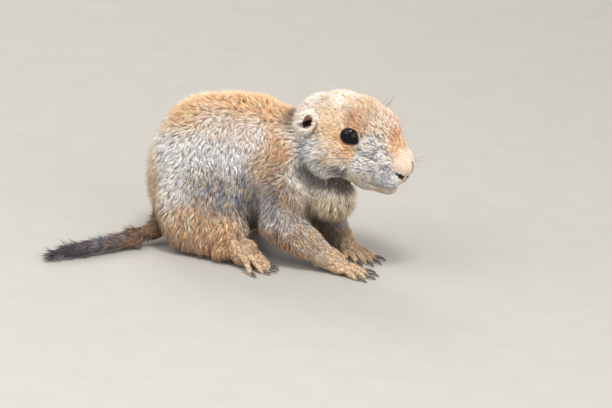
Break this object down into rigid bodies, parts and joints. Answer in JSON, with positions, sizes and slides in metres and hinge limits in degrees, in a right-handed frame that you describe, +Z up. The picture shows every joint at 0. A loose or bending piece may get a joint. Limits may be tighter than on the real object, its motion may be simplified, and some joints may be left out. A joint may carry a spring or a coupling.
{
  "type": "prairie dog",
  "caption": "Young black-tailed prairie dog, life size, crouched on all fours with its head turned to the right and its tail laid on the floor.",
  "frame": {"origin": "on the floor under the middle of the animal's bounding box", "axes": "+X from rump to nose, +Y towards the animal's left side, +Z up"},
  "size_m": [0.1579, 0.0911, 0.0785],
  "materials": {
    "coat_back": "soft dense fur, orange tan along the back and silver grey on the flanks",
    "coat_grey": "soft dense fur, slate grey mixed with tan",
    "coat_face": "short fur, cream on the crown and grey round the mouth",
    "coat_tail": "long coarse hair, slate black towards the tip",
    "paw_skin": "thinly haired skin with dark claws",
    "eye": "wet black"
  },
  "bodies": {
    "root": {"torso": "coat_back", "neck": "coat_back", "head": "coat_face", "ear_right": "coat_face", "ear_left": "coat_face", "eye_right": "eye", "eye_left": "eye", "foreleg_right": "coat_grey", "foreleg_left": "coat_grey", "forepaw_right": "paw_skin", "forepaw_left": "paw_skin", "hindleg_right": "coat_grey", "hindleg_left": "coat_grey", "hindfoot_right": "paw_skin", "hindfoot_left": "paw_skin", "tail": "coat_tail"}
  },
  "joints": []
}
